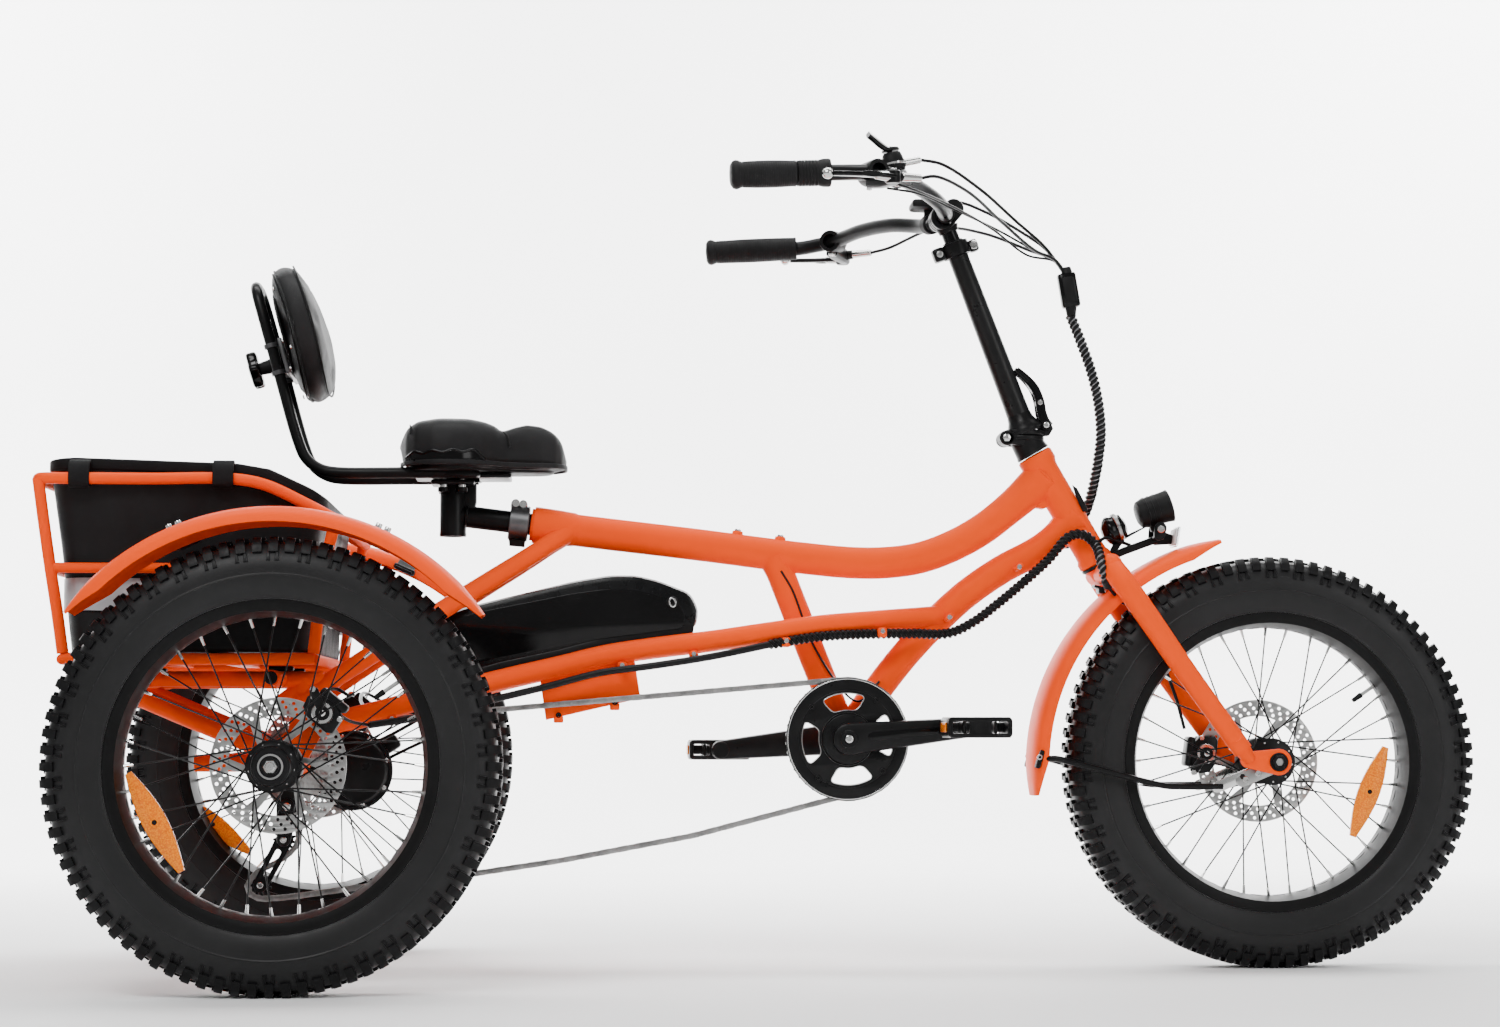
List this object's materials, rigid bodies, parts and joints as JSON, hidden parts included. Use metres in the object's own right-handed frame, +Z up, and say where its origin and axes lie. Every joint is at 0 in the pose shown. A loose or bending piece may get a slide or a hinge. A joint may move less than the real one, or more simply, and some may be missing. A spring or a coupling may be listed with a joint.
{
  "type": "electric adult tricycle",
  "caption": "Step-through adult tricycle with fat tyres, folding handlepost, sliding saddle with backrest, mid-frame battery and a fabric-lined rear basket.",
  "frame": {"origin": "on the ground, at the middle of the tricycle's length and width", "axes": "+X forward, +Y to the rider's left, +Z up"},
  "size_m": [2.0321, 0.914, 1.1652],
  "materials": {
    "frame_paint": "glossy orange powder coat",
    "black_metal": "satin black",
    "black_plastic": "moulded, matt",
    "battery_shell": "polished black",
    "grip_rubber": "soft, matt",
    "tyre_rubber": "moulded tread",
    "cable_sheath": "satin outer sheath",
    "seat_cover": "fine grained synthetic leather",
    "basket_fabric": "coarse woven polyester",
    "bright_steel": "machined",
    "grey_alloy": "anodised",
    "lamp_body": "black case with a clear lens"
  },
  "bodies": {
    "frame": {"head_tube": "frame_paint", "main_tube": "frame_paint", "down_and_seat_tubes": "frame_paint", "lower_rails": "frame_paint", "rear_carrier": "frame_paint", "seat_clamp": "grey_alloy", "battery": "battery_shell", "drive_unit": "black_metal", "derailleur": "black_metal", "chain": "bright_steel", "basket_frame": "frame_paint", "basket_liner": "basket_fabric", "rear_caliper_right": "black_metal", "rear_caliper_left": "black_metal", "rear_fender_right": "frame_paint", "rear_fender_left": "frame_paint", "frame_loom": "cable_sheath"},
    "steering": {"fork": "frame_paint", "front_axle": "bright_steel", "front_caliper": "black_metal", "front_fender": "frame_paint", "light_bracket": "black_plastic", "stem_base": "black_metal", "front_harness": "cable_sheath"},
    "front_wheel_set": {"front_tyre": "tyre_rubber", "front_wheel": "black_metal", "front_rotor": "bright_steel"},
    "rear_wheel_set_right": {"rear_tyre_right": "tyre_rubber", "rear_wheel_right": "black_metal", "rear_rotor_right": "bright_steel"},
    "rear_wheel_set_left": {"rear_tyre_left": "tyre_rubber", "rear_wheel_left": "black_metal", "rear_rotor_left": "bright_steel"},
    "cranks": {"crankset_right": "black_metal", "crank_left": "black_metal"},
    "pedal_right_body": {"pedal_right": "black_plastic"},
    "pedal_left_body": {"pedal_left": "black_plastic"},
    "cassette_body": {"cassette": "bright_steel"},
    "post": {"handlepost": "black_metal"},
    "catch": {"fold_lever": "black_metal"},
    "bars": {"bar_riser": "black_metal", "handlebar": "black_metal", "grip_right": "grip_rubber", "grip_left": "grip_rubber", "brake_bracket_right": "black_plastic", "brake_bracket_left": "black_plastic", "shifter": "black_plastic", "display": "black_plastic", "bar_cables": "cable_sheath"},
    "throttle": {"twist_throttle": "grip_rubber"},
    "brake_lever_right_body": {"brake_lever_right": "grey_alloy"},
    "brake_lever_left_body": {"brake_lever_left": "grey_alloy"},
    "shift_lever_body": {"shift_lever": "black_plastic"},
    "headlight_body": {"headlight": "lamp_body"},
    "seat": {"seat_post": "black_metal", "saddle": "seat_cover", "backrest_frame": "black_metal"},
    "backrest": {"backrest_pad": "seat_cover", "backrest_slider": "grey_alloy"},
    "backrest_knob_body": {"backrest_knob": "black_plastic"}
  },
  "joints": [
    {"name": "steer", "type": "hinge", "parent": "frame", "child": "steering", "pos_m": [0.4715, 0, 0.585], "axis": [-0.5, 0, 0.866], "range_deg": [-40, 40], "deforming": ["front_harness"]},
    {"name": "front_wheel_spin", "type": "hinge", "parent": "steering", "child": "front_wheel_set", "pos_m": [0.719, 0, 0.297], "axis": [0, 1, 0], "continuous": true},
    {"name": "rear_wheel_spin_right", "type": "hinge", "parent": "frame", "child": "rear_wheel_set_right", "pos_m": [-0.681, -0.395, 0.297], "axis": [0, 1, 0], "continuous": true},
    {"name": "rear_wheel_spin_left", "type": "hinge", "parent": "frame", "child": "rear_wheel_set_left", "pos_m": [-0.681, 0.395, 0.297], "axis": [0, 1, 0], "continuous": true},
    {"name": "crank_spin", "type": "hinge", "parent": "frame", "child": "cranks", "pos_m": [0.1, 0, 0.33], "axis": [0, 1, 0], "continuous": true},
    {"name": "cassette_spin", "type": "hinge", "parent": "frame", "child": "cassette_body", "pos_m": [-0.605, -0.05, 0.285], "axis": [0, 1, 0], "continuous": true},
    {"name": "pedal_spin_right", "type": "hinge", "parent": "cranks", "child": "pedal_right_body", "pos_m": [0.27419, -0.13, 0.34677], "axis": [0, 1, 0], "continuous": true},
    {"name": "pedal_spin_left", "type": "hinge", "parent": "cranks", "child": "pedal_left_body", "pos_m": [-0.07419, 0.13, 0.31323], "axis": [0, 1, 0], "continuous": true},
    {"name": "post_fold", "type": "hinge", "parent": "steering", "child": "post", "pos_m": [0.336, 0, 0.767], "axis": [0, -1, 0], "range_deg": [0, 60]},
    {"name": "fold_catch", "type": "hinge", "parent": "post", "child": "catch", "pos_m": [0.397, 0, 0.787], "axis": [0, 1, 0], "range_deg": [0, 110]},
    {"name": "bar_height", "type": "slide", "parent": "post", "child": "bars", "axis": [-0.3535, 0, 0.9354], "range_m": [-0.015, 0.08], "deforming": ["bar_cables"]},
    {"name": "throttle_twist", "type": "hinge", "parent": "bars", "child": "throttle", "pos_m": [0.062, -0.333, 1.097], "axis": [-0.9967, -0.067, -0.045], "range_deg": [0, 60]},
    {"name": "brake_lever_pull_right", "type": "hinge", "parent": "bars", "child": "brake_lever_right_body", "pos_m": [0.134, -0.366, 1.086], "axis": [0, 0, -1], "range_deg": [0, 16]},
    {"name": "brake_lever_pull_left", "type": "hinge", "parent": "bars", "child": "brake_lever_left_body", "pos_m": [0.134, 0.366, 1.086], "axis": [0, 0, 1], "range_deg": [0, 16]},
    {"name": "shift_press", "type": "hinge", "parent": "bars", "child": "shift_lever_body", "pos_m": [0.1455, -0.236, 1.146], "axis": [0, 0, 1], "range_deg": [-20, 20]},
    {"name": "headlight_tilt", "type": "hinge", "parent": "steering", "child": "headlight_body", "pos_m": [0.563, 0, 0.632], "axis": [0, 1, 0], "range_deg": [-10, 18]},
    {"name": "seat_slide", "type": "slide", "parent": "frame", "child": "seat", "axis": [-0.993, 0, 0.1184], "range_m": [-0.045, 0.03]},
    {"name": "backrest_height", "type": "slide", "parent": "seat", "child": "backrest", "axis": [-0.2756, 0, 0.9613], "range_m": [-0.06, 0.02]},
    {"name": "backrest_knob_turn", "type": "hinge", "parent": "backrest", "child": "backrest_knob_body", "pos_m": [-0.7165, 0, 0.8694], "axis": [0.9613, 0, 0.2756], "continuous": true}
  ],
  "couplings": [
    {"joint": "cassette_spin", "follows": "crank_spin", "ratio": 1.7}
  ]
}
